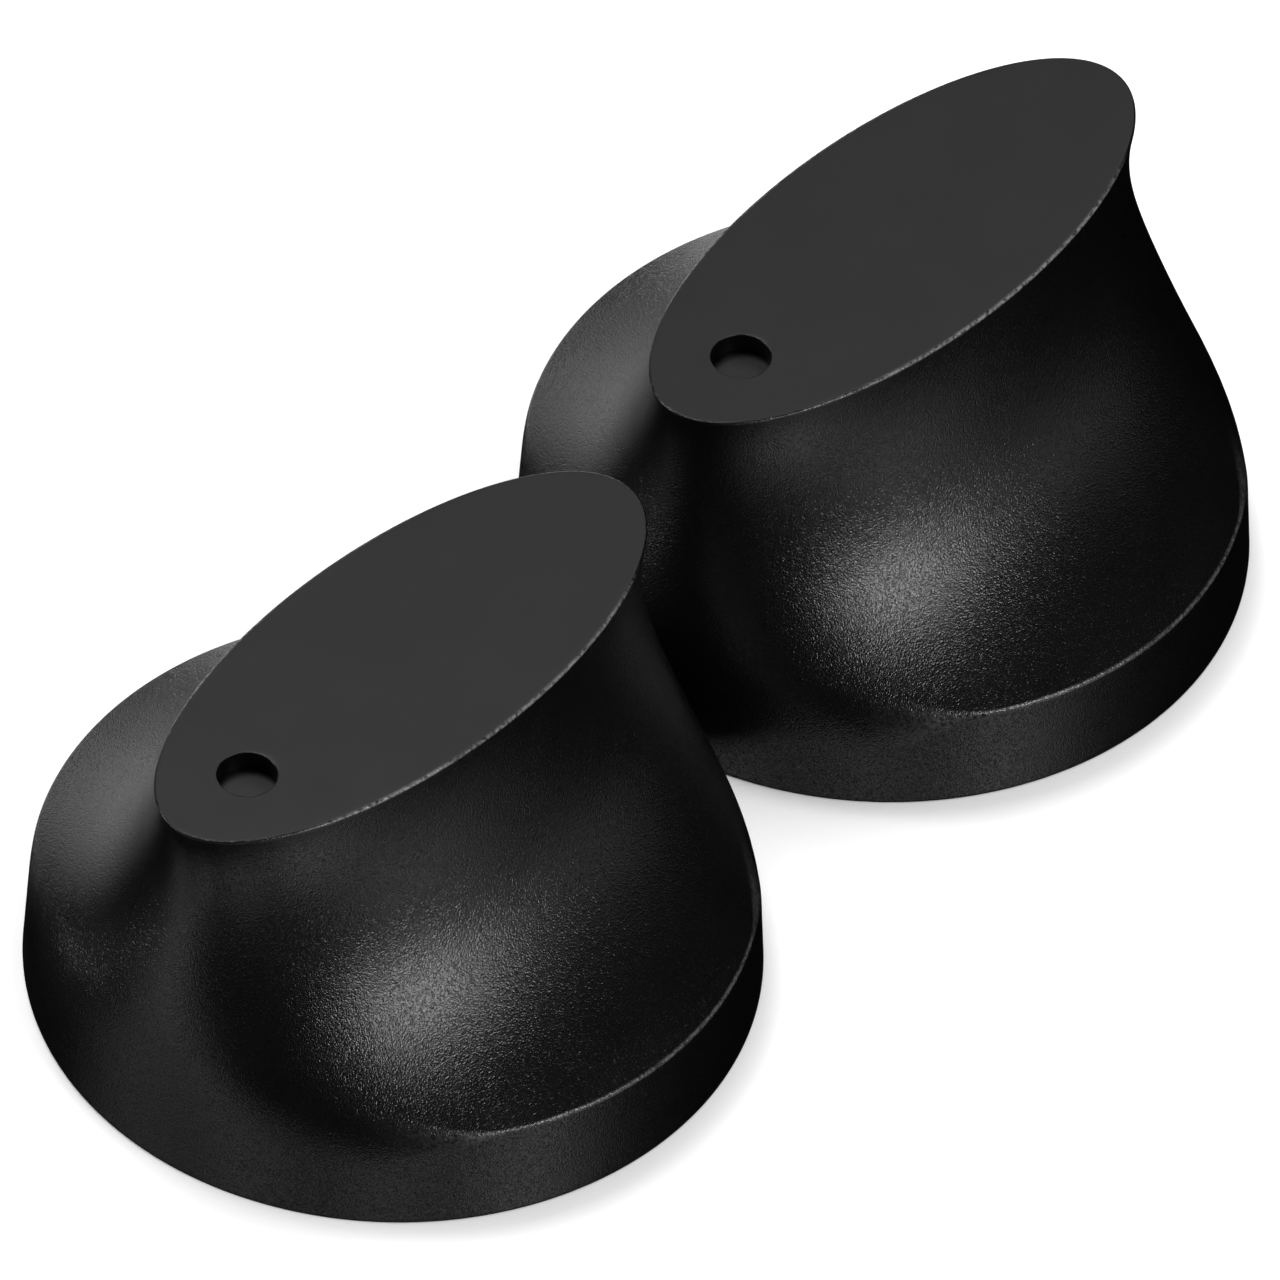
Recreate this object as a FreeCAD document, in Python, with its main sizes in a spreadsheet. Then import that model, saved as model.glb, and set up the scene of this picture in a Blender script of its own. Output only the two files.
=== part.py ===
import FreeCAD, Part
import os

import Sketcher

# A pair of moulded rotary control knobs, in millimetres, +Z up, standing on their rims.
# The origin is on the plane of the rims, midway between the two knobs. +X runs along both
# grips: the marker end of each grip points to -X, and the rear knob stands at +X.

doc = FreeCAD.newDocument("KnobPair")

DIMENSIONS = [
    ("knob_spacing", 41.4, "between the two knob axes, along the grips"),
    ("knob_stagger", 1.9, "between the two knob axes, across the grips"),
    ("rim_radius", 20.0, "outer radius of the base at the rim"),
    ("rim_top_radius", 19.7, "outer radius of the base where its wall ends"),
    ("rim_height", 6.0, "height of the base's wall"),
    ("knob_height", 23.2, "from the rim to the top face"),
    ("face_half_length", 17.87, "half length of the elliptical top face"),
    ("face_half_width", 7.48, "half width of the elliptical top face"),
    ("length_low", 19.4, "pole of the grip's half length, low"),
    ("length_middle", 18.2, "pole of the grip's half length, middle"),
    ("length_high", 15.9, "pole of the grip's half length, high"),
    ("width_low", 10.8, "pole of the grip's half width, low"),
    ("width_middle", 9.3, "pole of the grip's half width, middle"),
    ("width_high", 7.7, "pole of the grip's half width, high"),
    ("wall", 1.8, "level thickness of the shell's walls"),
    ("roof", 2.0, "upright thickness of the shell"),
    ("marker_offset", 12.2, "from the knob axis to the marker recess"),
    ("marker_radius", 1.63, "marker recess"),
    ("marker_depth", 1.2, "marker recess"),
    ("boss_radius", 7.0, "outside of the boss that holds the hub"),
    ("boss_bottom", 5.0, "height of the boss's open end"),
    ("boss_bore_top", 19.3, "height of the bore's blind end"),
    ("rib_thickness", 1.4, "stiffening ribs"),
    ("rib_bottom", 7.5, "height of the ribs' lower edges"),
    ("hub_radius", 5.0, "hub, pressed into the boss"),
    ("hub_bottom", 1.0, "height of the hub's open end"),
    ("hub_top", 19.0, "height of the hub's closed end"),
    ("flange_radius", 6.6, "hub flange that stops against the boss"),
    ("flange_thickness", 1.1, "hub flange"),
    ("groove_radius", 4.4, "floor of the groove for the clamp ring"),
    ("groove_width", 1.2, "groove for the clamp ring"),
    ("groove_bottom", 1.9, "height of the groove's lower side"),
    ("mouth_radius", 3.05, "round mouth, a close fit on a 6 mm spindle"),
    ("socket_radius", 3.25, "round side of the D socket"),
    ("socket_top", 17.0, "height of the socket's blind end"),
    ("flat_offset", 1.55, "from the knob axis to the flat of the D socket"),
    ("flat_bottom", 5.5, "height where the flat starts"),
    ("slot_width", 0.7, "slots that let the hub's mouth spring"),
    ("clip_thickness", 0.4, "strip of the spring clip"),
    ("clip_width", 3.6, "strip of the spring clip"),
    ("clip_bottom", 6.5, "height of the clip's lower end"),
    ("clip_top", 16.0, "height of the clip's upper end"),
    ("clip_bow", 0.9, "how far the clip bows towards the spindle"),
    ("clip_pocket_depth", 1.2, "clip pocket behind the flat"),
    ("clip_play", 0.03, "gap between the clip's ends and its pocket"),
    ("pocket_play", 0.4, "room above, below and beside the clip"),
    ("wire_radius", 0.55, "clamp ring wire"),
    ("ring_span", 300.0, "degrees that the clamp ring covers"),
]

SKIN_STEPS = 8  # the skin is lofted through one ellipse more than this
TALL = "Dimensions.knob_height"

sheet = doc.addObject("Spreadsheet::Sheet", "Dimensions")
for row, (alias, value, note) in enumerate(DIMENSIONS, start=1):
    sheet.set(f"A{row}", note)
    sheet.set(f"B{row}", str(value))
    sheet.setAlias(f"B{row}", alias)
doc.recompute()


def bind(thing, bindings):
    """Bind each named property to its expression."""
    for path, expression in bindings.items():
        thing.setExpression(path, expression)
    return thing


def add(kind, name, bindings):
    return bind(doc.addObject(kind, name), bindings)


def cylinder(name, radius, bottom, top):
    """An upright cylinder on the knob axis between two heights."""
    return add("Part::Cylinder", name, {
        "Radius": radius,
        "Height": f"({top}) - ({bottom})",
        "Placement.Base.z": bottom,
    })


def upright_box(name, length, width, bottom, top):
    """An upright box centred on the knob axis between two heights."""
    return add("Part::Box", name, {
        "Length": length,
        "Width": width,
        "Height": f"({top}) - ({bottom})",
        "Placement.Base.x": f"-({length}) / 2",
        "Placement.Base.y": f"-({width}) / 2",
        "Placement.Base.z": bottom,
    })


def cut(name, base, tool):
    made = doc.addObject("Part::Cut", name)
    made.Base = base
    made.Tool = tool
    return made


def fuse(name, pieces):
    made = doc.addObject("Part::MultiFuse", name)
    made.Shapes = pieces
    return made


# ---- the shell -------------------------------------------------------------------------


def quartic(poles, fraction):
    """The value of a quartic Bezier curve at a fraction, as an expression of its five poles."""
    rest = 1 - fraction
    weights = (
        rest**4,
        4 * rest**3 * fraction,
        6 * rest**2 * fraction**2,
        4 * rest * fraction**3,
        fraction**4,
    )
    return " + ".join(
        f"{weight:.9f} * Dimensions.{pole}" for weight, pole in zip(weights, poles)
    )


def grip_loft(name, inset, drop):
    """The grip from the top of the wall to the top face, with every ellipse smaller by
    inset and lower by drop. Half length and half width follow quartic curves."""
    length = ("rim_top_radius", "length_low", "length_middle", "length_high", "face_half_length")
    width = ("rim_top_radius", "width_low", "width_middle", "width_high", "face_half_width")
    sections = []
    for step in range(SKIN_STEPS + 1):
        fraction = step / SKIN_STEPS
        sections.append(add("Part::Ellipse", f"{name}_section_{step}", {
            "MajorRadius": f"{quartic(length, fraction)} - {inset}",
            "MinorRadius": f"{quartic(width, fraction)} - {inset}",
            "Placement.Base.z":
                f"Dimensions.rim_height - {drop}"
                f" + {fraction} * (Dimensions.knob_height - Dimensions.rim_height)",
        }))
    loft = doc.addObject("Part::Loft", name)
    loft.Sections = sections
    loft.Solid = True
    return loft


def outer_skin(knob):
    """The full outer form: the round base and the grip that grows out of it."""
    base = add("Part::Cone", f"{knob}_base", {
        "Radius1": "Dimensions.rim_radius",
        "Radius2": "Dimensions.rim_top_radius",
        "Height": "Dimensions.rim_height",
    })
    return fuse(f"{knob}_skin", [base, grip_loft(f"{knob}_grip", "0", "0")])


def inner_hollow(knob):
    """The hollow that is open at the rim, without the boss and the crossed ribs."""
    inset = "Dimensions.wall"
    room = cylinder(
        f"{knob}_room",
        "Dimensions.rim_top_radius - Dimensions.wall",
        "0",
        "Dimensions.rim_height - Dimensions.roof",
    )
    hollow = fuse(f"{knob}_hollow", [room, grip_loft(f"{knob}_core", inset, "Dimensions.roof")])
    reach = "2 * Dimensions.rim_radius"
    thickness = "Dimensions.rib_thickness"
    inside = fuse(f"{knob}_inside", [
        cylinder(f"{knob}_boss", "Dimensions.boss_radius", "Dimensions.boss_bottom", TALL),
        upright_box(f"{knob}_long_rib", reach, thickness, "Dimensions.rib_bottom", TALL),
        upright_box(f"{knob}_cross_rib", thickness, reach, "Dimensions.rib_bottom", TALL),
    ])
    return cut(f"{knob}_space", hollow, inside)


def shell(knob):
    """The moulded shell, with its boss bore and the blind marker recess."""
    hollow_shell = cut(f"{knob}_hollow_shell", outer_skin(knob), inner_hollow(knob))
    bore = cylinder(f"{knob}_boss_bore", "Dimensions.hub_radius", "0", "Dimensions.boss_bore_top")
    bored = cut(f"{knob}_bored_shell", hollow_shell, bore)
    recess = add("Part::Cylinder", f"{knob}_marker", {
        "Radius": "Dimensions.marker_radius",
        "Height": "2 * Dimensions.marker_depth",
        "Placement.Base.x": "-Dimensions.marker_offset",
        "Placement.Base.z": "Dimensions.knob_height - Dimensions.marker_depth",
    })
    return cut(f"{knob}_shell", bored, recess)


# ---- the hub ---------------------------------------------------------------------------


def origin_plane(body, role):
    return next(plane for plane in body.Origin.OriginFeatures if plane.Role == role)


def empty_sketch(body, name, role, height="0"):
    """A sketch on one of the body's origin planes, raised along that plane's normal."""
    sketch = body.newObject("Sketcher::SketchObject", name)
    sketch.AttachmentSupport = [(origin_plane(body, role), "")]
    sketch.MapMode = "FlatFace"
    sketch.setExpression("AttachmentOffset.Base.z", height)
    return sketch


def value_of(expression):
    return float(sheet.evalExpression(expression))


def place(x, y):
    """A point in a sketch, from two expressions."""
    return FreeCAD.Vector(value_of(x), value_of(y), 0)


def hold_size(sketch, kind, edge, expression):
    """Constrain an edge's size to an expression."""
    constraint = Sketcher.Constraint(kind, edge, value_of(expression))
    sketch.setExpression(f"Constraints[{sketch.addConstraint(constraint)}]", expression)


def hold_point(sketch, edge, end, x, y):
    """Hold one end of an edge at a distance from the sketch's origin, by two expressions."""
    for kind, expression in (("DistanceX", x), ("DistanceY", y)):
        constraint = Sketcher.Constraint(kind, -1, 1, edge, end, value_of(expression))
        sketch.setExpression(f"Constraints[{sketch.addConstraint(constraint)}]", expression)


def polygon(sketch, corners):
    """A closed outline of straight edges; each corner is a pair of expressions."""
    places = [place(x, y) for x, y in corners]
    first = sketch.GeometryCount
    for start, end in zip(places, places[1:] + places[:1]):
        sketch.addGeometry(Part.LineSegment(start, end))
    count = len(corners)
    for edge in range(count):
        follower = first + (edge + 1) % count
        sketch.addConstraint(Sketcher.Constraint("Coincident", first + edge, 2, follower, 1))
    for edge, (x, y) in enumerate(corners):
        hold_point(sketch, first + edge, 1, x, y)
    return sketch


def rectangle(sketch, low_x, low_y, high_x, high_y):
    return polygon(sketch, [(low_x, low_y), (high_x, low_y), (high_x, high_y), (low_x, high_y)])


def pocket_up(body, name, sketch, length):
    """A pocket that cuts upwards from its sketch."""
    pocket = body.newObject("PartDesign::Pocket", name)
    pocket.Profile = sketch
    pocket.Reversed = True
    pocket.setExpression("Length", length)
    return pocket


def hub_blank(body, knob):
    """The turned form of the hub: collar, ring groove, flange and core."""
    core = "Dimensions.hub_radius"
    groove = "Dimensions.groove_radius"
    flange = "Dimensions.flange_radius"
    groove_low = "Dimensions.groove_bottom"
    groove_high = "Dimensions.groove_bottom + Dimensions.groove_width"
    flange_low = "Dimensions.boss_bottom - Dimensions.flange_thickness"
    flange_high = "Dimensions.boss_bottom"
    outline = polygon(empty_sketch(body, f"{knob}_hub_outline", "XZ_Plane"), [
        ("0", "Dimensions.hub_bottom"),
        (core, "Dimensions.hub_bottom"),
        (core, groove_low),
        (groove, groove_low),
        (groove, groove_high),
        (core, groove_high),
        (core, flange_low),
        (flange, flange_low),
        (flange, flange_high),
        (core, flange_high),
        (core, "Dimensions.hub_top"),
        ("0", "Dimensions.hub_top"),
    ])
    blank = body.newObject("PartDesign::Revolution", f"{knob}_hub_blank")
    blank.Profile = outline
    blank.ReferenceAxis = (outline, ["V_Axis"])
    blank.Angle = 360


def round_sketch(body, name, radius):
    """A circle on the knob axis at the plane of the rim."""
    sketch = empty_sketch(body, name, "XY_Plane")
    circle = Part.Circle(FreeCAD.Vector(), FreeCAD.Vector(0, 0, 1), value_of(radius))
    sketch.addGeometry(circle)
    sketch.addConstraint(Sketcher.Constraint("Coincident", 0, 3, -1, 1))
    hold_size(sketch, "Radius", 0, radius)
    return sketch


def d_sketch(body, name):
    """A circle with a flat towards -X, at the height where the flat starts."""
    sketch = empty_sketch(body, name, "XY_Plane", "Dimensions.flat_bottom")
    radius = sheet.get("socket_radius")
    flat = sheet.get("flat_offset")
    half = (radius**2 - flat**2) ** 0.5
    low = FreeCAD.Vector(-flat, -half, 0)
    high = FreeCAD.Vector(-flat, half, 0)
    sketch.addGeometry(Part.Arc(low, FreeCAD.Vector(radius, 0, 0), high))
    sketch.addGeometry(Part.LineSegment(high, low))
    sketch.addConstraint(Sketcher.Constraint("Coincident", 0, 2, 1, 1))
    sketch.addConstraint(Sketcher.Constraint("Coincident", 0, 1, 1, 2))
    sketch.addConstraint(Sketcher.Constraint("Coincident", 0, 3, -1, 1))
    sketch.addConstraint(Sketcher.Constraint("Vertical", 1))
    hold_size(sketch, "Radius", 0, "Dimensions.socket_radius")
    flat_place = Sketcher.Constraint("DistanceX", -1, 1, 1, 1, -flat)
    index = sketch.addConstraint(flat_place)
    sketch.setExpression(f"Constraints[{index}]", "-Dimensions.flat_offset")
    return sketch


def hub(knob):
    """The nylon hub: a round mouth, then a D socket with a pocket for the spring clip."""
    body = doc.addObject("PartDesign::Body", f"{knob}_hub")
    hub_blank(body, knob)
    mouth = round_sketch(body, f"{knob}_mouth_outline", "Dimensions.mouth_radius")
    pocket_up(body, f"{knob}_mouth", mouth, "Dimensions.flat_bottom")
    socket = d_sketch(body, f"{knob}_socket_outline")
    pocket_up(body, f"{knob}_socket", socket, "Dimensions.socket_top - Dimensions.flat_bottom")
    half = "(Dimensions.clip_width + Dimensions.pocket_play) / 2"
    clip_room = rectangle(
        empty_sketch(body, f"{knob}_clip_room_outline", "XY_Plane", "Dimensions.flat_bottom"),
        "-Dimensions.flat_offset - Dimensions.clip_pocket_depth",
        f"-{half}",
        "0",
        half,
    )
    pocket_up(
        body,
        f"{knob}_clip_room",
        clip_room,
        "Dimensions.clip_top + Dimensions.pocket_play - Dimensions.flat_bottom",
    )
    reach = "Dimensions.flange_radius"
    side = "Dimensions.slot_width / 2"
    slot_length = "Dimensions.boss_bottom - Dimensions.flange_thickness"
    for axis, (x, y) in {"long": (reach, side), "cross": (side, reach)}.items():
        outline = empty_sketch(body, f"{knob}_{axis}_slot_outline", "XY_Plane")
        rectangle(outline, f"-({x})", f"-({y})", x, y)
        pocket_up(body, f"{knob}_{axis}_slot", outline, slot_length)
    return body


# ---- spring clip and clamp ring --------------------------------------------------------


def spring_clip(knob):
    """A bowed steel strip whose ends rest on the back of the pocket behind the flat."""
    back = "-Dimensions.flat_offset - Dimensions.clip_pocket_depth + Dimensions.clip_play"
    front = f"{back} + Dimensions.clip_thickness"
    bow = "Dimensions.clip_bow"
    low = "Dimensions.clip_bottom"
    high = "Dimensions.clip_top"

    def bowed_edge(x):
        """An arc from the low end to the high end, bowed towards +X."""
        middle = f"({low} + {high}) / 2"
        sketch.addGeometry(Part.Arc(
            place(x, low), place(f"{x} + {bow}", middle), place(x, high)
        ))

    body = doc.addObject("PartDesign::Body", f"{knob}_spring_clip")
    sketch = empty_sketch(body, f"{knob}_clip_outline", "XZ_Plane")
    bowed_edge(back)
    bowed_edge(front)
    sketch.addGeometry(Part.LineSegment(place(back, high), place(front, high)))
    sketch.addGeometry(Part.LineSegment(place(front, low), place(back, low)))
    for arc, arc_end, line, line_end in ((0, 2, 2, 1), (1, 2, 2, 2), (1, 1, 3, 1), (0, 1, 3, 2)):
        sketch.addConstraint(Sketcher.Constraint("Coincident", arc, arc_end, line, line_end))
    for arc, x in ((0, back), (1, front)):
        hold_point(sketch, arc, 1, x, low)
        hold_point(sketch, arc, 2, x, high)
    bow_radius = f"(({high} - {low}) ^ 2 / 4 + {bow} ^ 2) / (2 * {bow})"
    for arc in (0, 1):
        hold_size(sketch, "Radius", arc, bow_radius)
    strip = body.newObject("PartDesign::Pad", f"{knob}_clip_strip")
    strip.Profile = sketch
    strip.Midplane = True
    strip.setExpression("Length", "Dimensions.clip_width")
    return body


def clamp_ring(knob):
    """An open ring of round steel wire in the hub's groove, with its gap towards +X."""
    return add("Part::Torus", f"{knob}_clamp_ring", {
        "Radius1": "Dimensions.groove_radius + Dimensions.wire_radius",
        "Radius2": "Dimensions.wire_radius",
        "Angle3": "Dimensions.ring_span",
        "Placement.Rotation.Angle": "180 - Dimensions.ring_span / 2",
    })


# ---- both knobs ------------------------------------------------------------------------

PIECES = {
    "shell": (shell, "0"),
    "hub": (hub, "0"),
    "spring_clip": (spring_clip, "0"),
    "clamp_ring": (clamp_ring, "Dimensions.groove_bottom + Dimensions.groove_width / 2"),
}
KNOBS = {"front": "-1", "rear": "1"}  # which way each knob stands from the origin

nodes = []
for knob, way in KNOBS.items():
    for piece, (make, height) in PIECES.items():
        node = make(knob)
        node.Label = f"{knob}_{piece}"
        bind(node, {
            "Placement.Base.x": f"{way} * Dimensions.knob_spacing / 2",
            "Placement.Base.y": f"{way} * Dimensions.knob_stagger / 2",
            "Placement.Base.z": height,
        })
        nodes.append(node)
doc.recompute()

for thing in doc.Objects:
    if "Invalid" in thing.State or "Error" in thing.State:
        raise RuntimeError(f"{thing.Label} failed: {thing.State}")
for node in nodes:
    if node.Shape.isNull() or not node.Shape.isValid() or len(node.Shape.Solids) != 1:
        raise RuntimeError(f"{node.Label} is not one valid solid")

os.makedirs("parts", exist_ok=True)
for node in nodes:
    node.Shape.exportStep(f"parts/{node.Label}.step")
    box = node.Shape.BoundBox
    print(
        f"{node.Label}: {node.Shape.Volume:.1f} mm3,"
        f" x {box.XMin:.2f} to {box.XMax:.2f},"
        f" y {box.YMin:.2f} to {box.YMax:.2f},"
        f" z {box.ZMin:.2f} to {box.ZMax:.2f}"
    )
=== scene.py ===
import bpy
import numpy as np
from mathutils import Matrix, Vector


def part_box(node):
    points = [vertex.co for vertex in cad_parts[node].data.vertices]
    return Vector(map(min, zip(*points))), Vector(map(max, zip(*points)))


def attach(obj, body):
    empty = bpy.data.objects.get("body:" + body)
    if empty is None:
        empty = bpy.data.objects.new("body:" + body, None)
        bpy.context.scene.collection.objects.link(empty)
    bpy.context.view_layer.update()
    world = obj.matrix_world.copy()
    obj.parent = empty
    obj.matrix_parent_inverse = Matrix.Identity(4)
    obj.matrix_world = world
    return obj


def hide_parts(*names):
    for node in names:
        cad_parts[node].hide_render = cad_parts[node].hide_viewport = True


mm = 0.001
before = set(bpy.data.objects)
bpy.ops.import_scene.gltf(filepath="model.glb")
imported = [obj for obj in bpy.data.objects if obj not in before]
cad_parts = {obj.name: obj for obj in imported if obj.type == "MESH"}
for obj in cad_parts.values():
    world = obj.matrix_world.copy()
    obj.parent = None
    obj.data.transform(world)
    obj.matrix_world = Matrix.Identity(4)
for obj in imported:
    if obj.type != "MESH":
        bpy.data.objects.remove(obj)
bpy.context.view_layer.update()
print("frame loaded:", ", ".join(sorted(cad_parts)))

shellLow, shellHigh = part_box("front_shell")
rimRadius = (shellHigh[0] - shellLow[0]) / 2 / mm
topHeight = shellHigh[2] / mm


def knobPlace(knob):
    low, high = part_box(f"{knob}_shell")
    return Vector(((low[0] + high[0]) / 2, (low[1] + high[1]) / 2, 0))


view = {
    "azimuth": -49.02,  # degrees, 0 looks along +Y
    "elevation": 45.87,
    "roll": 1.86,  # degrees, leans the camera to the left
    "lens": 1500,  # mm, long enough to look almost parallel
    "sensor": 36,  # mm
    "frameWidth": 69.02 * mm,  # seen at the aim point
    "aimRight": 13.32 * mm,  # from the middle of the front knob's rim
    "aimUp": 16.99 * mm,
    "clipStart": 0.1,  # metres from the lens
    "clipEnd": 10,
}


def skyDirection(azimuth, elevation):
    # azimuth in degrees round the pair, 0 on the camera's side and positive to its right
    turn = np.radians(view["azimuth"] + azimuth)
    lift = np.radians(elevation)
    return Vector((np.sin(turn) * np.cos(lift), -np.cos(turn) * np.cos(lift), np.sin(lift)))


def makeCamera():
    back = skyDirection(0, view["elevation"])
    levelRight = skyDirection(90, 0)
    right = Matrix.Rotation(np.radians(view["roll"]), 3, back) @ levelRight
    up = back.cross(right)
    aim = knobPlace("front") + right * view["aimRight"] + up * view["aimUp"]
    camera = bpy.data.objects.new("camera", bpy.data.cameras.new("camera"))
    camera.data.lens = view["lens"]
    camera.data.sensor_width = view["sensor"]
    distance = view["frameWidth"] * view["lens"] / view["sensor"]
    turn = Matrix((right, up, back)).transposed()
    camera.matrix_world = Matrix.Translation(aim + back * distance) @ turn.to_4x4()
    camera.data.clip_start = view["clipStart"]
    camera.data.clip_end = view["clipEnd"]
    bpy.context.scene.collection.objects.link(camera)
    bpy.context.scene.camera = camera


makeCamera()
print("camera placed")


class Wire:
    # a shader socket that can be used in sums: each operator adds one Math node
    def __init__(self, paint, socket):
        self.paint = paint
        self.socket = socket

    def maths(self, operation, *values):
        inputs = dict(enumerate(values))
        return self.paint.add("ShaderNodeMath", {"operation": operation}, inputs)[0]

    def __add__(self, other):
        return self.maths("ADD", self, other)

    def __sub__(self, other):
        return self.maths("SUBTRACT", self, other)

    def __rsub__(self, other):
        return self.maths("SUBTRACT", other, self)

    def __mul__(self, other):
        return self.maths("MULTIPLY", self, other)

    def __abs__(self):
        return self.maths("ABSOLUTE", self)

    __radd__ = __add__

    def ramp(self, low, high):
        # 0 below low, 1 above high, eased between
        settings = {"interpolation_type": "SMOOTHSTEP"}
        limits = {"Value": self, "From Min": low, "From Max": high}
        return self.paint.add("ShaderNodeMapRange", settings, limits)[0]


class Paint:
    # one procedural material, built round a Principled shader
    def __init__(self, name):
        self.material = bpy.data.materials.new(name)
        self.material.use_nodes = True
        self.tree = self.material.node_tree
        self.tree.nodes.clear()
        self.shader = self.tree.nodes.new("ShaderNodeBsdfPrincipled")
        output = self.tree.nodes.new("ShaderNodeOutputMaterial")
        self.tree.links.new(self.shader.outputs[0], output.inputs["Surface"])
        self.place = self.add("ShaderNodeTexCoord", {}, {})["Object"]

    def add(self, kind, settings, inputs):
        # any node: settings first, then the values or links of its sockets
        node = self.tree.nodes.new(kind)
        for key, value in settings.items():
            setattr(node, key, value)
        for key, value in inputs.items():
            self.feed(node.inputs[key], value)
        outputs = [*enumerate(node.outputs), *node.outputs.items()]
        return {key: Wire(self, socket) for key, socket in outputs}

    def feed(self, socket, value):
        if isinstance(value, Wire):
            self.tree.links.new(value.socket, socket)
        else:
            socket.default_value = value

    def finish(self, look):
        for key, value in look.items():
            self.feed(self.shader.inputs[key], value)
        return self.material

    def noise(self, size, detail=2.0, place=None):
        # from 0 to 1, in blobs about size millimetres across
        inputs = {"Vector": place or self.place, "Scale": 1 / (size * mm), "Detail": detail}
        return self.add("ShaderNodeTexNoise", {}, inputs)["Fac"]

    def blend(self, factor, first, second):
        # 6 and 7 are the node's colour inputs, and output 2 is its colour
        inputs = {"Factor": factor, 6: first, 7: second}
        return self.add("ShaderNodeMix", {"data_type": "RGBA"}, inputs)[2]

    def bump(self, height, depth):
        inputs = {"Height": height, "Distance": depth * mm}
        return self.add("ShaderNodeBump", {}, inputs)["Normal"]


blackPlastic = {
    # sizes and depths in millimetres
    "colour": (0.0008, 0.0008, 0.0009, 1),
    "paleColour": (0.002, 0.002, 0.0021, 1),
    # the colour of the painted highlight specks on the edges
    "paintedGlintColour": (0.13, 0.13, 0.13, 1),
    "wormSize": 0.17,
    "wormShare": 0.55,  # the rest of the grain is plain pits
    "pitSize": 0.09,
    "grainDepth": 0.022,
    "levelFrom": (0.97, 0.999),  # how far a normal points up where level faces begin
    "levelGrain": 0.10,  # share of the grain left on level faces
    "cloudSize": 3.5,
    "wormPale": 0.5,  # how far worms and clouds pull the colour to the pale one
    "cloudPale": 0.4,
    "paintedGlintSize": 0.22,  # painted highlight: pale specks along the rubbed edges, in place of glints of light
    "paintedGlintPatch": 6.0,  # and the stretches where they come and go
    "roughness": 0.285,
    "levelRoughness": 0.36,
    "edgeRoughness": 0.22,
    "cloudRoughness": 0.06,
    "specular": 0.5,
}


def makeBlackPlastic():
    # black plastic from a spark-eroded mould: a grain of short worms and pits on every side,
    # almost smooth on level faces; the edges are rubbed smooth and carry a painted highlight
    # of pale specks
    look = blackPlastic
    paint = Paint("blackPlastic")
    facing = paint.add("ShaderNodeTexCoord", {}, {})["Normal"]
    upward = paint.add("ShaderNodeSeparateXYZ", {}, {"Vector": facing})["Z"]
    level = upward.ramp(*look["levelFrom"])
    worms = 1 - abs(paint.noise(look["wormSize"], 1.0) - 0.5) * 4
    pits = paint.noise(look["pitSize"], 1.0)
    grain = worms * look["wormShare"] + pits * (1 - look["wormShare"])
    amount = 1 - level * (1 - look["levelGrain"])
    cloud = paint.noise(look["cloudSize"], 3.0)
    # how worn each point's edge is, which also sets how strongly highlight specks are painted
    # there
    rubAndGlint = paint.add("ShaderNodeAttribute", {"attribute_name": "rubAndGlint"}, {})["Fac"]
    roughness = look["roughness"] + level * (look["levelRoughness"] - look["roughness"])
    roughness = roughness + (cloud - 0.5) * look["cloudRoughness"]
    roughness = roughness + rubAndGlint * (look["edgeRoughness"] - look["roughness"])
    pale = worms.ramp(0.2, 1.0) * look["wormPale"] + cloud * look["cloudPale"]
    colour = paint.blend(pale, look["colour"], look["paleColour"])
    # painted highlight: pale specks blended into the colour along the edges, in place of
    # glints of light
    paintedGlintSpecks = paint.noise(look["paintedGlintSize"], 2.0).ramp(0.2, 0.7)
    paintedGlints = rubAndGlint * paintedGlintSpecks * paint.noise(look["paintedGlintPatch"], 1.0).ramp(0.2, 0.6)
    return paint.finish(
        {
            "Base Color": paint.blend(paintedGlints, colour, look["paintedGlintColour"]),
            "Roughness": roughness,
            "Specular IOR Level": look["specular"],
            "Normal": paint.bump(grain * amount, look["grainDepth"]),
        }
    )


nylon = {
    "colour": (0.60, 0.57, 0.47, 1),
    "paleColour": (0.74, 0.71, 0.61, 1),
    "cloudSize": 1.6,  # mm
    "poreSize": 0.12,
    "poreDepth": 0.006,
    "roughness": 0.42,
    "poreRoughness": 0.2,
}


def makeNylon():
    # natural glass-filled nylon: warm white with faint clouds and pores
    look = nylon
    paint = Paint("naturalNylon")
    pores = paint.noise(look["poreSize"])
    clouds = paint.noise(look["cloudSize"], 4.0)
    return paint.finish(
        {
            "Base Color": paint.blend(clouds, look["colour"], look["paleColour"]),
            "Roughness": look["roughness"] + pores * look["poreRoughness"],
            "Normal": paint.bump(pores, look["poreDepth"]),
        }
    )


steels = {
    # name: tint, stretch of the drawing lines along x, y and z, roughness
    "rolledSteel": ((0.56, 0.56, 0.55), (1.0, 1.0, 0.06), 0.26),
    "platedWire": ((0.66, 0.67, 0.70), (0.5, 0.5, 1.0), 0.30),
}
drawnSteel = {
    "lineSize": 0.05,  # mm
    "lineDepth": 0.004,
    "lineRoughness": 0.16,
    "spotSize": 0.7,
    "spotRoughness": 0.15,
    "spotShade": 0.6,  # share of the tint left in a spot
}


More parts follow.
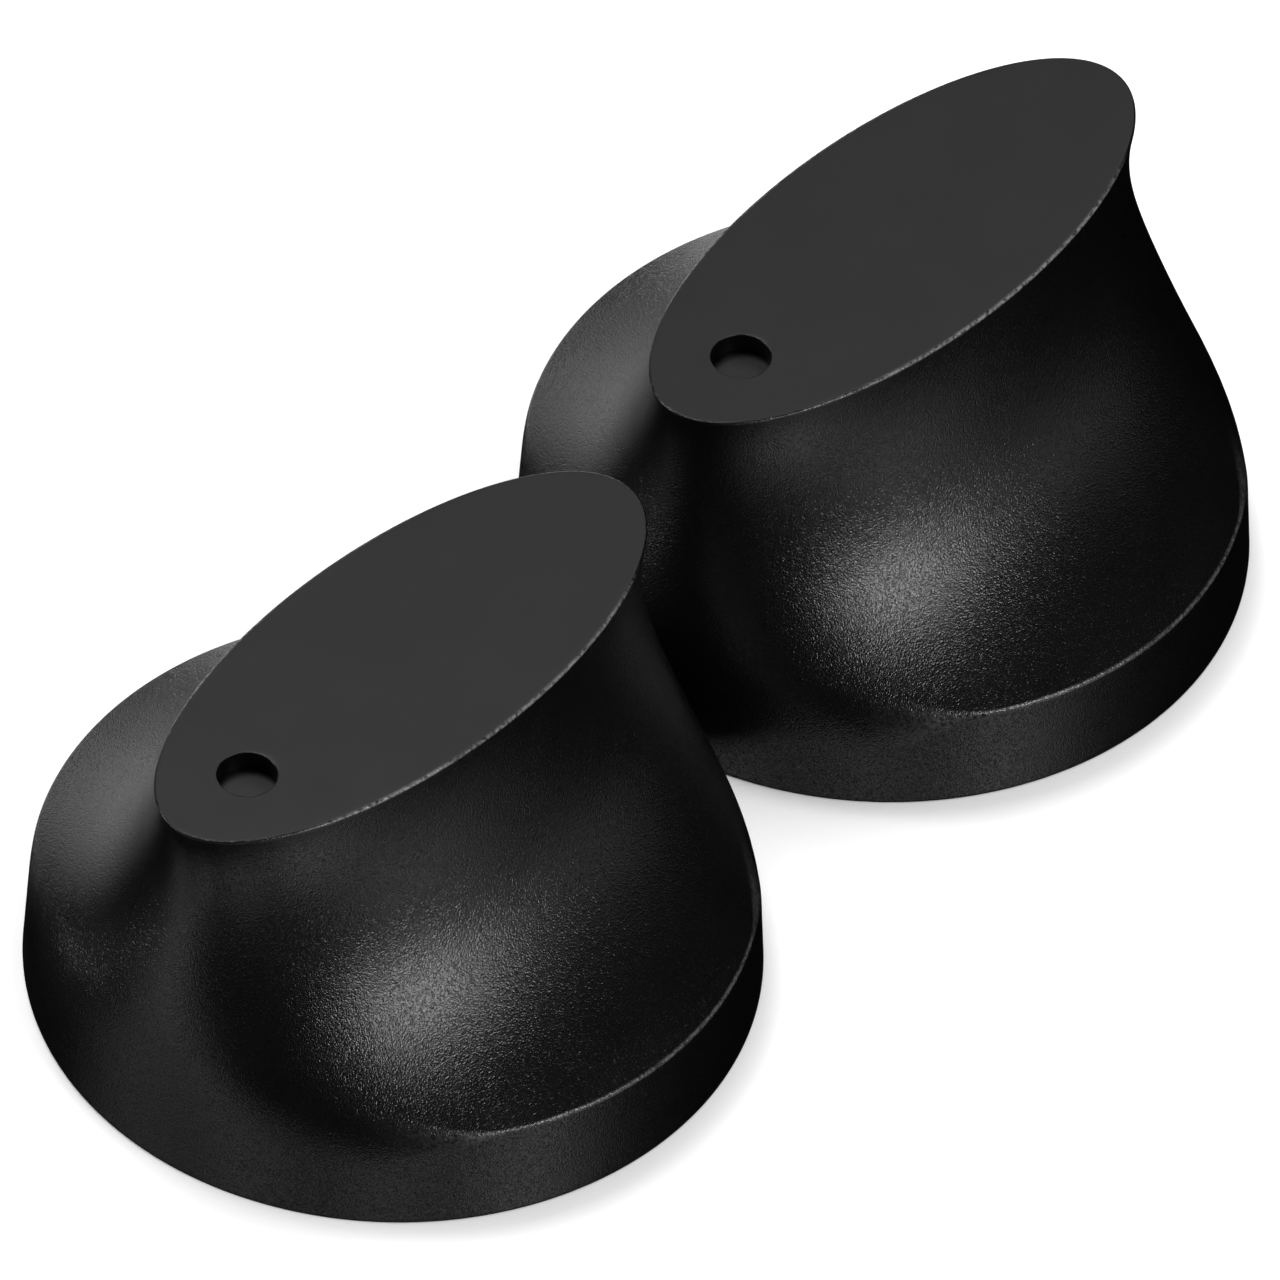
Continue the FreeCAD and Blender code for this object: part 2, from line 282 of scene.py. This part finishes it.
def makeSteel(name):
    # drawn steel: fine lines along the strip or round the wire, and a few duller spots
    tint, stretch, roughness = steels[name]
    look = drawnSteel
    paint = Paint(name)
    mapping = {"Vector": paint.place, "Scale": stretch}
    drawn = paint.add("ShaderNodeMapping", {"vector_type": "POINT"}, mapping)["Vector"]
    lines = paint.noise(look["lineSize"], 3.0, drawn)
    spots = paint.noise(look["spotSize"], 3.0).ramp(0.5, 0.8)
    dull = tuple(channel * look["spotShade"] for channel in tint)
    duller = lines * look["lineRoughness"] + spots * look["spotRoughness"]
    return paint.finish(
        {
            "Base Color": paint.blend(spots, (*tint, 1), (*dull, 1)),
            "Metallic": 1.0,
            "Roughness": roughness + duller,
            "Normal": paint.bump(lines, look["lineDepth"]),
        }
    )


shellPlastic = makeBlackPlastic()
hubNylon = makeNylon()
clipSteel = makeSteel("rolledSteel")
ringSteel = makeSteel("platedWire")
print("materials made")


def bezier(poles, t):
    # Bernstein sum of the poles, by repeated straight blends between neighbours
    level = list(poles)
    while len(level) > 1:
        level = [first + (second - first) * t for first, second in zip(level, level[1:])]
    return level[0]


def ringSurface(rings, startPole, endPole):
    # a closed skin over a stack of rings (rows, columns, xyz), each end drawn in to a pole;
    # it faces outwards when anticlockwise rings run out from the top and down the outside
    rows, columns, _ = rings.shape
    points = np.vstack([rings.reshape(-1, 3), startPole, endPole])
    column = np.arange(columns)
    following = (column + 1) % columns
    upper = np.arange(rows - 1)[:, None] * columns
    lower = upper + columns
    corners = [upper + column, lower + column, lower + following, upper + following]
    quads = np.stack(corners, -1).reshape(-1, 4)
    last = (rows - 1) * columns
    start = np.full(columns, rows * columns)
    firstCap = np.stack([column, following, start], -1)
    lastCap = np.stack([last + following, last + column, start + 1], -1)
    return points, [quads, firstCap, lastCap]


def joined(*surfaces):
    # several closed skins as one: each skin's corners are counted on from the one before
    starts = np.cumsum([0] + [len(points) for points, _ in surfaces])
    points = np.vstack([points for points, _ in surfaces])
    blocks = [block + start for start, (_, skin) in zip(starts, surfaces) for block in skin]
    return points, blocks


def makePiece(name, knob, surface, material, rubAndGlint):
    # one finished object from a surface in millimetres about the knob's axis; the last
    # argument says how worn the first points are, and how strongly highlight specks are
    # painted on them, from 0 to 1; the rest aren't
    points, blocks = surface
    mesh = bpy.data.meshes.new(name)
    faces = [face for block in blocks for face in block.tolist()]
    mesh.from_pydata((points * mm + knobPlace(knob)).tolist(), [], faces)
    wear = np.zeros(len(points), np.float32)
    wear[: len(rubAndGlint)] = rubAndGlint
    mesh.attributes.new("rubAndGlint", "FLOAT", "POINT").data.foreach_set("value", wear)
    mesh.materials.append(material)
    mesh.shade_smooth()
    mesh.set_sharp_from_angle(angle=np.radians(shellMade["smoothAngle"]))
    piece = bpy.data.objects.new(name, mesh)
    bpy.context.scene.collection.objects.link(piece)
    return piece


def levelRing(length, width, height, angle):
    # a level ellipse about the knob's axis, from its half length, half width and height
    points = np.broadcast_arrays(length * np.cos(angle), width * np.sin(angle), height)
    return np.stack(points, -1)


def ringAt(radius, height, angle):
    # a level circle about the knob's axis
    return levelRing(radius, radius, height, angle)


def rounded(before, corner, after, count):
    # rows along a quadratic curve that cuts a corner, ends included
    share = np.linspace(0, 1, count)[:, None, None]
    return bezier((before[None], corner[None], after[None]), share)


def between(first, last, shares):
    # rows at the given shares of the straight way between two rings
    return first[None] + (last - first)[None] * np.asarray(shares)[:, None, None]


def toward(start, goal, distance):
    # points a given distance from start on the straight way to goal
    way = goal - start
    return start + way * (distance / np.linalg.norm(way, axis=-1, keepdims=True))


shellMade = {
    # millimetres about the knob's axis, except for the columns, rows, shares and angle
    "columns": 448,
    "smoothAngle": 40,  # degrees, sharper edges are shaded as edges
    "rimHeight": 6.0,
    "lengthPoles": (19.7, 19.4, 18.2, 15.9, 17.87),  # half length of the grip, going up
    "widthPoles": (19.7, 10.8, 9.3, 7.7, 7.48),  # half width of the grip, going up
    "faceRows": 12,
    "flankRows": 84,
    "wallRows": 12,
    "faceEdge": 0.20,  # how far the rounding reaches each side of the top edge
    "faceEdgeRows": 8,
    "faceMargin": 0.05,  # a narrow band that keeps the face flat up to its rounding
    "creaseEdge": 0.20,  # on the long sides, where the wall's top shows as a line
    "creaseBlend": 2.6,  # at the two ends, where the wall runs smoothly into the grip
    "creaseRows": 9,
    "sharpFrom": (0.62, 0.88),  # sine of the angle from the grip's line where that changes
    "rimEdge": 0.25,
    "rimEdgeRows": 6,
    "innerEdgeRows": 5,
    "innerWallRows": 5,
    "innerFlankRows": 29,
    "wall": 1.8,
    "roof": 2.0,
    "markerOffset": 12.2,
    "markerRadius": 1.63,
    "markerDepth": 1.2,
    "markerEdge": 0.06,
    "markerEdgeRows": 5,
    "topRubAndGlint": 1.0,  # how rubbed the middle of an edge is and how strong its painted highlight specks, from 0 to 1
    "creaseRubAndGlint": 0.35,
    "bossRadius": 7.0,
    "bossBore": 5.0,
    "bossBottom": 5.0,
    "bossBoreTop": 19.3,
    "bossEdge": 0.2,
    "bossColumns": 96,
    "ribThickness": 1.4,
    "ribBottom": 7.5,
    "ribEdge": 0.25,
    "ribRows": 14,
    "edgeMiddle": 0.3,  # where a boss or rib edge's middle row stands, as a share of its reach
    "rooting": 0.4,  # how far the boss and the ribs run into the wall and the roof
}


def gripPoint(step, angle, inset=0.0, drop=0.0):
    # level ellipses: half length and half width are quartic curves of the step, which is 0 at
    # the top of the wall and 1 at the face; inset shrinks the ellipse and drop lowers it
    made = shellMade
    length = bezier(made["lengthPoles"], step) - inset
    width = bezier(made["widthPoles"], step) - inset
    height = made["rimHeight"] + (topHeight - made["rimHeight"]) * step - drop
    return levelRing(length, width, height, angle)


def innerShares(count):
    # evenly spaced shares of a way, both ends left out
    return np.linspace(0, 1, count + 2)[1:-1]


def shellSkin():
    # one closed skin: marker floor, face, flank, wall, rim, then up the inside to the roof
    made = shellMade
    angle = np.linspace(0, 2 * np.pi, made["columns"], endpoint=False)
    nudge = 1e-3  # a small step up the grip, to measure its slope

    edge = gripPoint(1.0, angle)
    climb = (edge - gripPoint(1 - nudge, angle)) / nudge
    edgeStep = 1 - made["faceEdge"] / np.linalg.norm(climb, axis=-1)
    outward = ringAt(1.0, 0.0, angle) / (made["lengthPoles"][-1], made["widthPoles"][-1], 1)
    outward /= np.linalg.norm(outward, axis=-1, keepdims=True)
    faceEdge = edge - outward * made["faceEdge"]

    # each column of the face runs straight from the recess out to the edge
    centre = np.array([-made["markerOffset"], 0.0, topHeight])
    way = faceEdge - centre
    way /= np.linalg.norm(way, axis=-1, keepdims=True)

    def markerRing(share, depth, edgeShare=0):
        radius = made["markerRadius"] * share + made["markerEdge"] * edgeShare
        return centre + way * radius - (0, 0, depth)

    depth, lip = made["markerDepth"], made["markerEdge"]
    markerFloor = np.stack([markerRing(share, depth) for share in (0.35, 0.7, 0.95, 1.0)])
    markerWall = np.stack([markerRing(1.0, depth * share) for share in (0.98, 0.6, 0.2)])
    lipCorners = markerRing(1.0, lip), markerRing(1.0, 0.0), markerRing(1.0, 0.0, 1)
    markerLip = rounded(*lipCorners, made["markerEdgeRows"])
    faceShares = np.r_[0.01, np.linspace(0.06, 0.94, made["faceRows"])]
    face = between(markerLip[-1], faceEdge, faceShares)
    faceMargin = (faceEdge - outward * made["faceMargin"])[None]
    topEdge = rounded(faceEdge, edge, gripPoint(edgeStep, angle), made["faceEdgeRows"])

    # the crease is a tight line on the long sides and a wide blend at the ends
    low, high = made["sharpFrom"]
    sharp = np.clip((np.abs(np.sin(angle)) - low) / (high - low), 0, 1)
    sharp = (sharp * sharp * (3 - 2 * sharp))[:, None]
    reach = made["creaseBlend"] + (made["creaseEdge"] - made["creaseBlend"]) * sharp
    crease = gripPoint(0.0, angle)
    rise = (gripPoint(nudge, angle) - crease) / nudge
    creaseStep = reach[:, 0] / np.linalg.norm(rise, axis=-1)
    flankShares = innerShares(made["flankRows"])[:, None]
    flank = gripPoint(edgeStep + (creaseStep - edgeStep) * flankShares, angle)
    wallFoot = ringAt(rimRadius, 0.0, angle)
    creaseTop, creaseFoot = gripPoint(creaseStep, angle), toward(crease, wallFoot, reach)
    creaseRound = rounded(creaseTop, crease, creaseFoot, made["creaseRows"])

    # down the wall, round the rim and up the inside
    soft = made["rimEdge"]
    inner = made["lengthPoles"][0] - made["wall"]
    rimStart, rimEnd = toward(wallFoot, crease, soft), ringAt(rimRadius - soft, 0.0, angle)
    rimRound = rounded(rimStart, wallFoot, rimEnd, made["rimEdgeRows"])
    wall = between(creaseFoot, rimStart, innerShares(made["wallRows"]))
    innerStart, innerEnd = ringAt(inner + soft, 0.0, angle), ringAt(inner, soft, angle)
    innerFoot = ringAt(inner, 0.0, angle)
    innerRound = rounded(innerStart, innerFoot, innerEnd, made["innerEdgeRows"])
    hollow = made["wall"], made["roof"]
    wallShares = np.linspace(0, 1, made["innerWallRows"] + 1)[1:]
    innerWall = between(innerEnd, gripPoint(0.0, angle, *hollow), wallShares)
    flankSteps = np.linspace(0, 1, made["innerFlankRows"] + 1)[1:, None]
    innerFlank = gripPoint(flankSteps, angle, *hollow)
    ceilingPole = np.array([0.0, 0.0, topHeight - made["roof"]])
    ceilingEnd = np.broadcast_to(ceilingPole, edge.shape)
    ceiling = between(innerFlank[-1], ceilingEnd, (0.03, 0.35, 0.7))

    bands = [
        # each band of rows, how rubbed its middle is and how strongly highlight specks are
        # painted there
        (markerFloor, 0),
        (markerWall, 0),
        (markerLip, 0),
        (face, 0),
        (faceMargin, 0),
        (topEdge, made["topRubAndGlint"]),
        (flank, 0),
        (creaseRound, made["creaseRubAndGlint"]),
        (wall, 0),
        (rimRound, 0),
        (innerRound, 0),
        (innerWall, 0),
        (innerFlank, 0),
        (ceiling, 0),
    ]
    # wear and painted highlight strength across each band, fading out towards the grip's two
    # ends
    across = [wear * np.sin(np.linspace(0, np.pi, len(band))) for band, wear in bands]
    rubAndGlint = (np.concatenate(across)[:, None] * sharp[:, 0]).ravel()
    rings = np.concatenate([band for band, _ in bands])
    return ringSurface(rings, centre - (0, 0, depth), ceilingPole), rubAndGlint


def lathe(profile, columns, startHeight, endHeight):
    # a profile of (radius, height) pairs turned about the knob's axis, closed at both ends
    angle = np.linspace(0, 2 * np.pi, columns, endpoint=False)
    radius, height = np.array(profile, float).T[..., None]
    return ringSurface(ringAt(radius, height, angle), (0, 0, startHeight), (0, 0, endHeight))


def shellBoss():
    # a tube with a blind bore, its closed end inside the roof
    made = shellMade
    outer, bore, bottom = made["bossRadius"], made["bossBore"], made["bossBottom"]
    soft = made["bossEdge"]
    middle = soft * made["edgeMiddle"]
    root = topHeight - made["roof"] + made["rooting"]
    profile = [
        (outer * 0.5, root),
        (outer, root),
        (outer, bottom + soft),
        (outer - middle, bottom + middle),
        (outer - soft, bottom),
        (bore + soft, bottom),
        (bore + middle, bottom + middle),
        (bore, bottom + soft),
        (bore, made["bossBoreTop"]),
        (bore * 0.5, made["bossBoreTop"]),
    ]
    return lathe(profile, made["bossColumns"], root, made["bossBoreTop"])


def shellRib(along):
    # an upright plate across the hollow, as level rectangles whose reach follows the wall
    made = shellMade
    soft, bottom = made["ribEdge"], made["ribBottom"]
    middle = soft * made["edgeMiddle"]
    ceiling = topHeight - made["roof"] + made["rooting"]
    upper = np.linspace(bottom + 3 * soft, ceiling, made["ribRows"])
    height = np.r_[bottom, bottom + middle, bottom + soft, upper]
    half = np.full(len(height), made["ribThickness"] / 2)
    half[:2] -= soft, middle
    step = (height + made["roof"] - made["rimHeight"]) / (topHeight - made["rimHeight"])
    poles = made["lengthPoles"] if along else made["widthPoles"]
    reach = bezier(poles, np.clip(step, 0, 1)) - made["wall"] + made["rooting"]
    far, side = reach[:, None] * (-1, 1, 1, -1), half[:, None] * (-1, -1, 1, 1)
    level = np.repeat(height[:, None], 4, 1)
    rings = np.stack([far, side, level] if along else [-side, far, level], -1)[::-1]
    return ringSurface(rings, (0, 0, ceiling), (0, 0, bottom))


knobs = ("front", "rear")
skin, rubAndGlint = shellSkin()
shell = joined(skin, shellBoss(), shellRib(True), shellRib(False))
for knob in knobs:
    piece = makePiece(f"{knob}_knob_shell", knob, shell, shellPlastic, rubAndGlint)
    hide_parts(f"{knob}_shell")
    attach(piece, f"{knob}_knob")
print("shells moulded")

# the turned, bent and wound pieces keep their CAD shape and get their finish
finishes = {"hub": hubNylon, "spring_clip": clipSteel, "clamp_ring": ringSteel}
for knob in knobs:
    for part, material in finishes.items():
        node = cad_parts[f"{knob}_{part}"]
        node.data.materials.clear()
        node.data.materials.append(material)
print("hubs, clips and rings finished")

studio = {
    "floorColour": (0.87, 0.87, 0.87, 1),
    "floorHalf": 3.0,  # metres
    "floorRoughness": 0.9,
    "fibreSize": 0.8,  # mm
    "fibreDepth": 0.01,
    "roomLight": 1.0,  # the pale room lights the floor
}
softboxes = {
    # name: azimuth, elevation, side in metres, brightness; each faces the pair from 1 m away
    "keyLeft": (40, 22, 0.14, 34),
    "keyRight": (56, 22, 0.14, 25),
    "keyTop": (48, 30, 0.14, 20),
    "right": (90, 8, 0.35, 0.8),
    "behindHigh": (160, 48, 0.35, 1.5),
    "behindLeft": (210, 8, 0.35, 1.5),
    "left": (270, 8, 0.35, 12),
    "overhead": (210, 70, 0.35, 12),
    # bounce cards below the floor, which lets their light through
    "cardRight": (60, -14, 0.35, 1.5),
    "cardBehind": (180, -14, 0.35, 2.5),
    "cardBehindLeft": (210, -14, 0.35, 1),
    "cardLeft": (300, -14, 0.35, 1.2),
    "cardLowLeft": (280, -38, 0.35, 0.4),
    "cardFront": (0, -38, 0.35, 1),
    "cardFrontRight": (40, -38, 0.35, 1.5),
    "cardFrontLeft": (320, -38, 0.35, 0.8),
}


def makeSoftbox(name, azimuth, elevation, side, brightness):
    away = skyDirection(azimuth, elevation)
    light = bpy.data.lights.new(name, "AREA")
    light.size = side
    light.energy = brightness * side * side * np.pi
    lamp = bpy.data.objects.new(name, light)
    lamp.location = away
    lamp.rotation_mode = "QUATERNION"
    lamp.rotation_quaternion = away.to_track_quat("Z", "Y")
    lamp.visible_camera = False
    bpy.context.scene.collection.objects.link(lamp)


def makeStudio():
    half = studio["floorHalf"]
    mesh = bpy.data.meshes.new("floor")
    corners = [(-half, -half, 0), (half, -half, 0), (half, half, 0), (-half, half, 0)]
    mesh.from_pydata(corners, [], [(0, 1, 2, 3)])
    paint = Paint("palePaper")
    paper = {
        "Base Color": studio["floorColour"],
        "Roughness": studio["floorRoughness"],
        "Normal": paint.bump(paint.noise(studio["fibreSize"], 3.0), studio["fibreDepth"]),
    }
    mesh.materials.append(paint.finish(paper))
    floor = bpy.data.objects.new("floor", mesh)
    floor.visible_glossy = False  # so that the gloss shows only the softboxes and cards
    floor.visible_shadow = False
    bpy.context.scene.collection.objects.link(floor)
    for name, values in softboxes.items():
        makeSoftbox(name, *values)
    world = bpy.data.worlds.new("studio")
    bpy.context.scene.world = world
    world.use_nodes = True
    background = world.node_tree.nodes["Background"].inputs
    background["Color"].default_value = (1, 1, 1, 1)
    background["Strength"].default_value = studio["roomLight"]
    world.cycles_visibility.glossy = False  # for the same reason
    bpy.context.scene.view_settings.view_transform = "Standard"


makeStudio()
print("studio lit")
